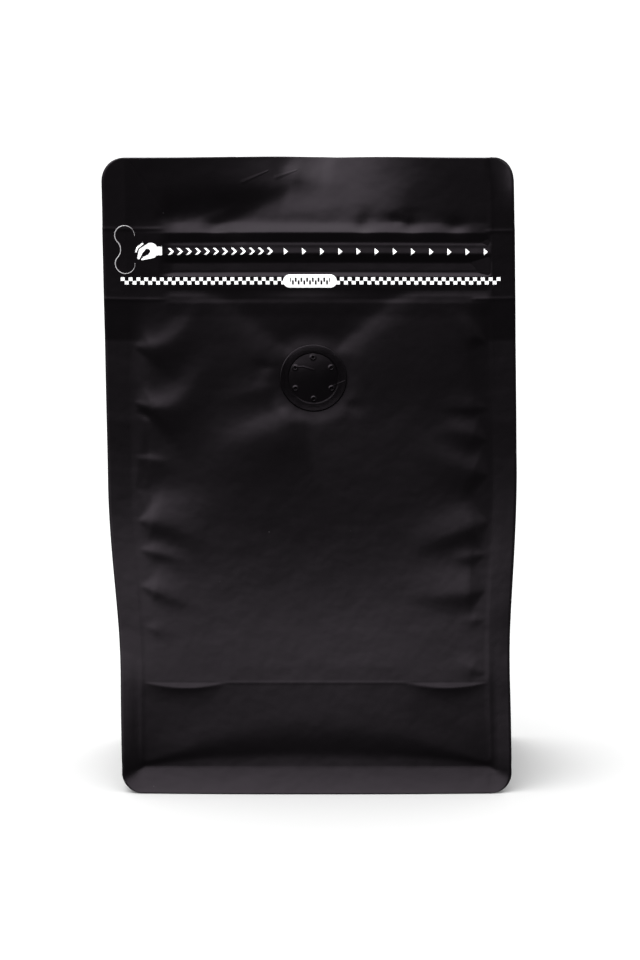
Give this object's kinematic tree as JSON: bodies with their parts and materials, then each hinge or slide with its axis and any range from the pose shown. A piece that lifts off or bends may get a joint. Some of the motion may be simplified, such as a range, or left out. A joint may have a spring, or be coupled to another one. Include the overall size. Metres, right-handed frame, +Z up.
{
  "type": "flat bottom coffee bag",
  "caption": "Shut black flat bottom coffee bag that stands on its base, with folded side gussets, welded edge fins, a zipper band with a pull tab and a round valve.",
  "frame": {"origin": "on the floor, under the middle of the bag's outline", "axes": "+Z up, the printed front panel with the valve faces -Y, +X to the right as the front is seen"},
  "size_m": [0.1311, 0.077, 0.1961],
  "materials": {
    "film": "soft matt black laminate with white print",
    "valve": "satin black"
  },
  "bodies": {
    "root": {"bag": "film", "valve": "valve"}
  },
  "joints": []
}
